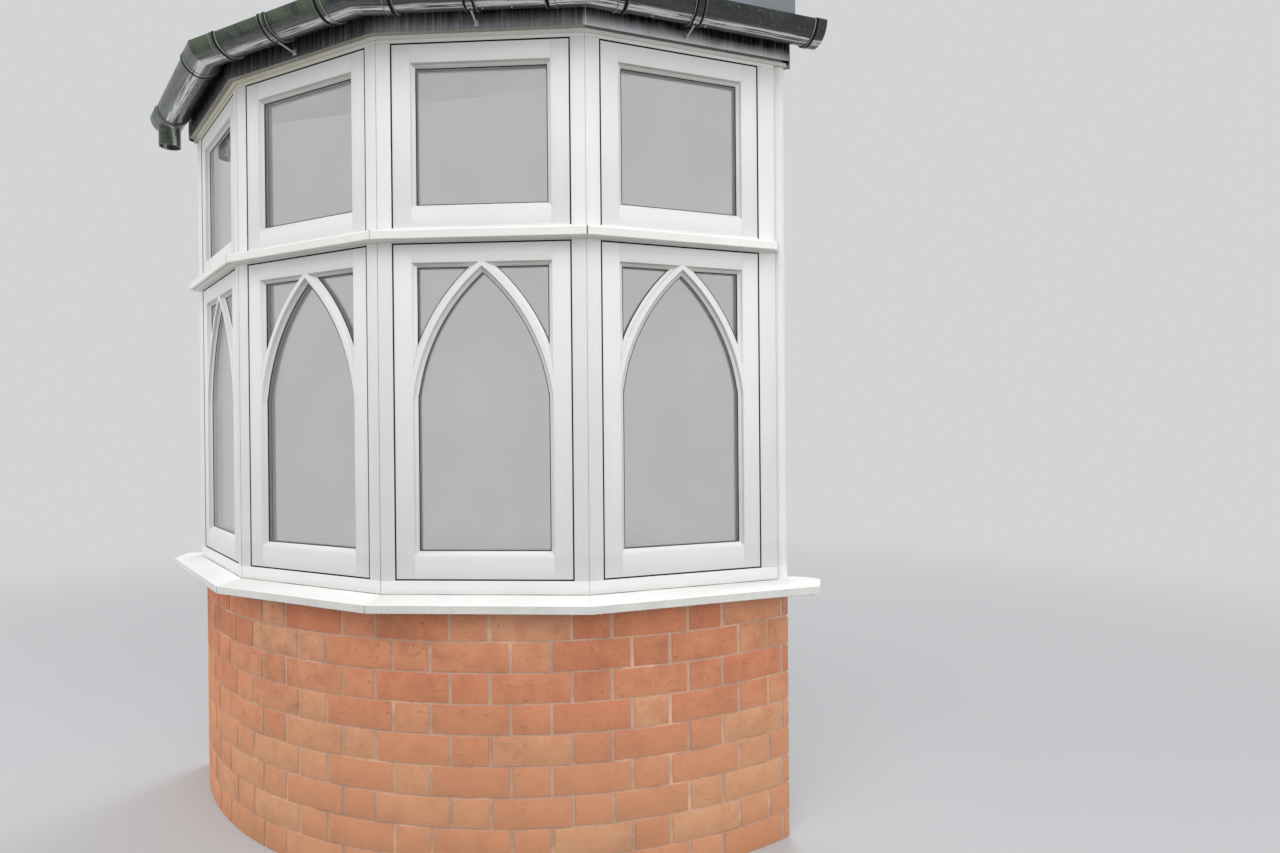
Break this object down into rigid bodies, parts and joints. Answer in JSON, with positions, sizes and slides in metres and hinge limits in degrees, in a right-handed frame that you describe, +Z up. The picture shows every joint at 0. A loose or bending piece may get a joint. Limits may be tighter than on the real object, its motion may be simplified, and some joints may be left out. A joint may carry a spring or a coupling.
{
  "type": "bay window",
  "caption": "Shallow bow bay of timber casements with pointed arched bars over a curved brick apron, with boarded fascia, gutter and low hipped roof.",
  "frame": {"origin": "middle of the whole bay's bounding box, on the ground", "axes": "+Z up; -Y towards the street, +Y into the house wall; +X along the house wall, to the right seen from the street"},
  "size_m": [2.5716, 0.6818, 2.9185],
  "materials": {
    "brickwork": "weathered orange-red brick",
    "painted_sill": "white gloss paint",
    "white_paint": "white satin paint",
    "inside_paint": "white eggshell paint",
    "glass": "clear sealed unit",
    "black_fascia": "black paint, weathered",
    "gutter_plastic": "black, with green stains",
    "roof_timber": "sawn softwood",
    "slates": "riven blue-grey slate on boards",
    "lead": "dull grey sheet lead",
    "handle_metal": "white coated metal"
  },
  "bodies": {
    "root": {"brick_apron": "brickwork", "sill_left_side": "painted_sill", "sill_left_front": "painted_sill", "sill_right_front": "painted_sill", "sill_right_side": "painted_sill", "frame_left_side": "white_paint", "frame_left_front": "white_paint", "frame_right_front": "white_paint", "frame_right_side": "white_paint", "casement_left_side": "white_paint", "casement_left_front": "white_paint", "casement_right_front": "white_paint", "casement_right_side": "white_paint", "fanlight_left_side": "white_paint", "fanlight_left_front": "white_paint", "fanlight_right_front": "white_paint", "fanlight_right_side": "white_paint", "casement_glass_left_side": "glass", "casement_glass_left_front": "glass", "casement_glass_right_front": "glass", "casement_glass_right_side": "glass", "fanlight_glass_left_side": "glass", "fanlight_glass_left_front": "glass", "fanlight_glass_right_front": "glass", "fanlight_glass_right_side": "glass", "drip_left_side": "white_paint", "drip_left_front": "white_paint", "drip_right_front": "white_paint", "drip_right_side": "white_paint", "cover_bead_left": "white_paint", "cover_bead_right": "white_paint", "head_trim": "white_paint", "fascia": "black_fascia", "gutter": "gutter_plastic", "gutter_angles": "gutter_plastic", "gutter_brackets": "gutter_plastic", "gutter_outlet": "gutter_plastic", "gutter_stop_end": "gutter_plastic", "ceiling": "inside_paint", "rafters": "roof_timber", "roof": "slates", "hip_rolls": "lead", "wall_flashing": "lead", "window_board": "inside_paint", "casement_handles": "handle_metal"}
  },
  "joints": []
}
